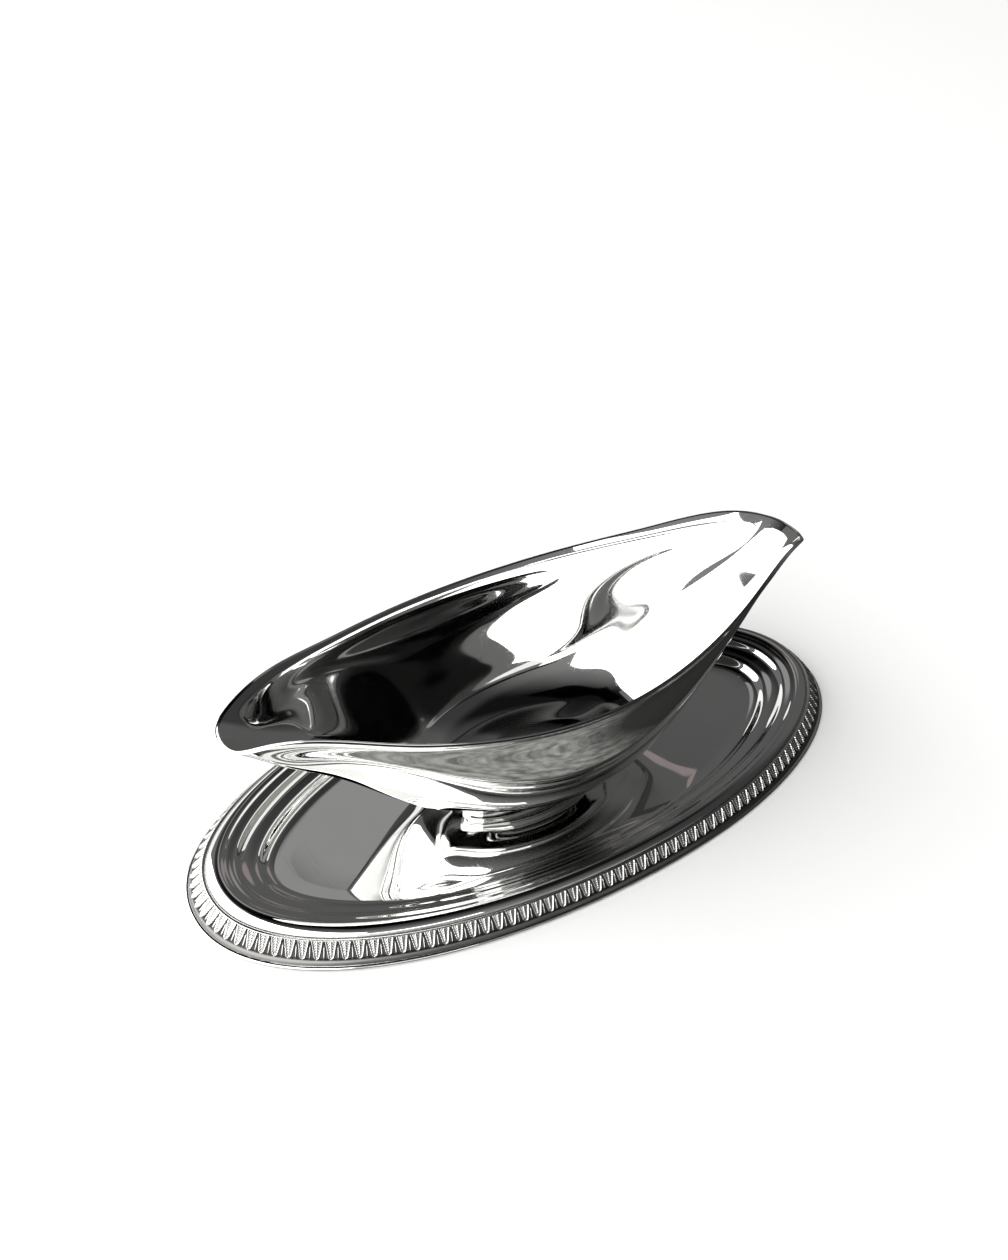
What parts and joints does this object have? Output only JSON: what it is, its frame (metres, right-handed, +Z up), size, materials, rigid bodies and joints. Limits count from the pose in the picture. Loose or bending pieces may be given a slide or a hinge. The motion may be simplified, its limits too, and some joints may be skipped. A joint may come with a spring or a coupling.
{
  "type": "gravy boat",
  "caption": "Gravy boat with a pouring lip at each end on a low oval foot, fixed by a screw and nut to an oval stand with a leaf border.",
  "frame": {"origin": "on the table under the middle of the stand", "axes": "+X along the boat towards one pouring lip, +Z up"},
  "size_m": [0.234, 0.11, 0.068],
  "materials": {
    "silver_plate": "mirror polish",
    "cast_silver_plate": "bright with darker recesses",
    "nickel_silver": "satin",
    "brass": "satin"
  },
  "bodies": {
    "stand_body": {"stand": "silver_plate", "leaf_border": "cast_silver_plate", "edge_wire": "silver_plate"},
    "boat_body": {"bowl": "silver_plate", "foot": "silver_plate", "foot_plate": "nickel_silver", "stud": "brass"},
    "washer_body": {"washer": "brass"},
    "nut_body": {"round_nut": "brass"}
  },
  "joints": [
    {"name": "boat_lift", "type": "slide", "parent": "stand_body", "child": "boat_body", "axis": [0, 0, 1], "range_m": [0, 0.06]},
    {"name": "nut_travel", "type": "slide", "parent": "stand_body", "child": "washer_body", "axis": [0, 0, -1], "range_m": [0, 0.004]},
    {"name": "nut_turn", "type": "hinge", "parent": "washer_body", "child": "nut_body", "pos_m": [0, 0, 0.0025], "axis": [0, 0, -1], "range_deg": [0, 1800]}
  ],
  "couplings": [
    {"joint": "nut_turn", "follows": "nut_travel", "rad_per_m": 7854}
  ]
}
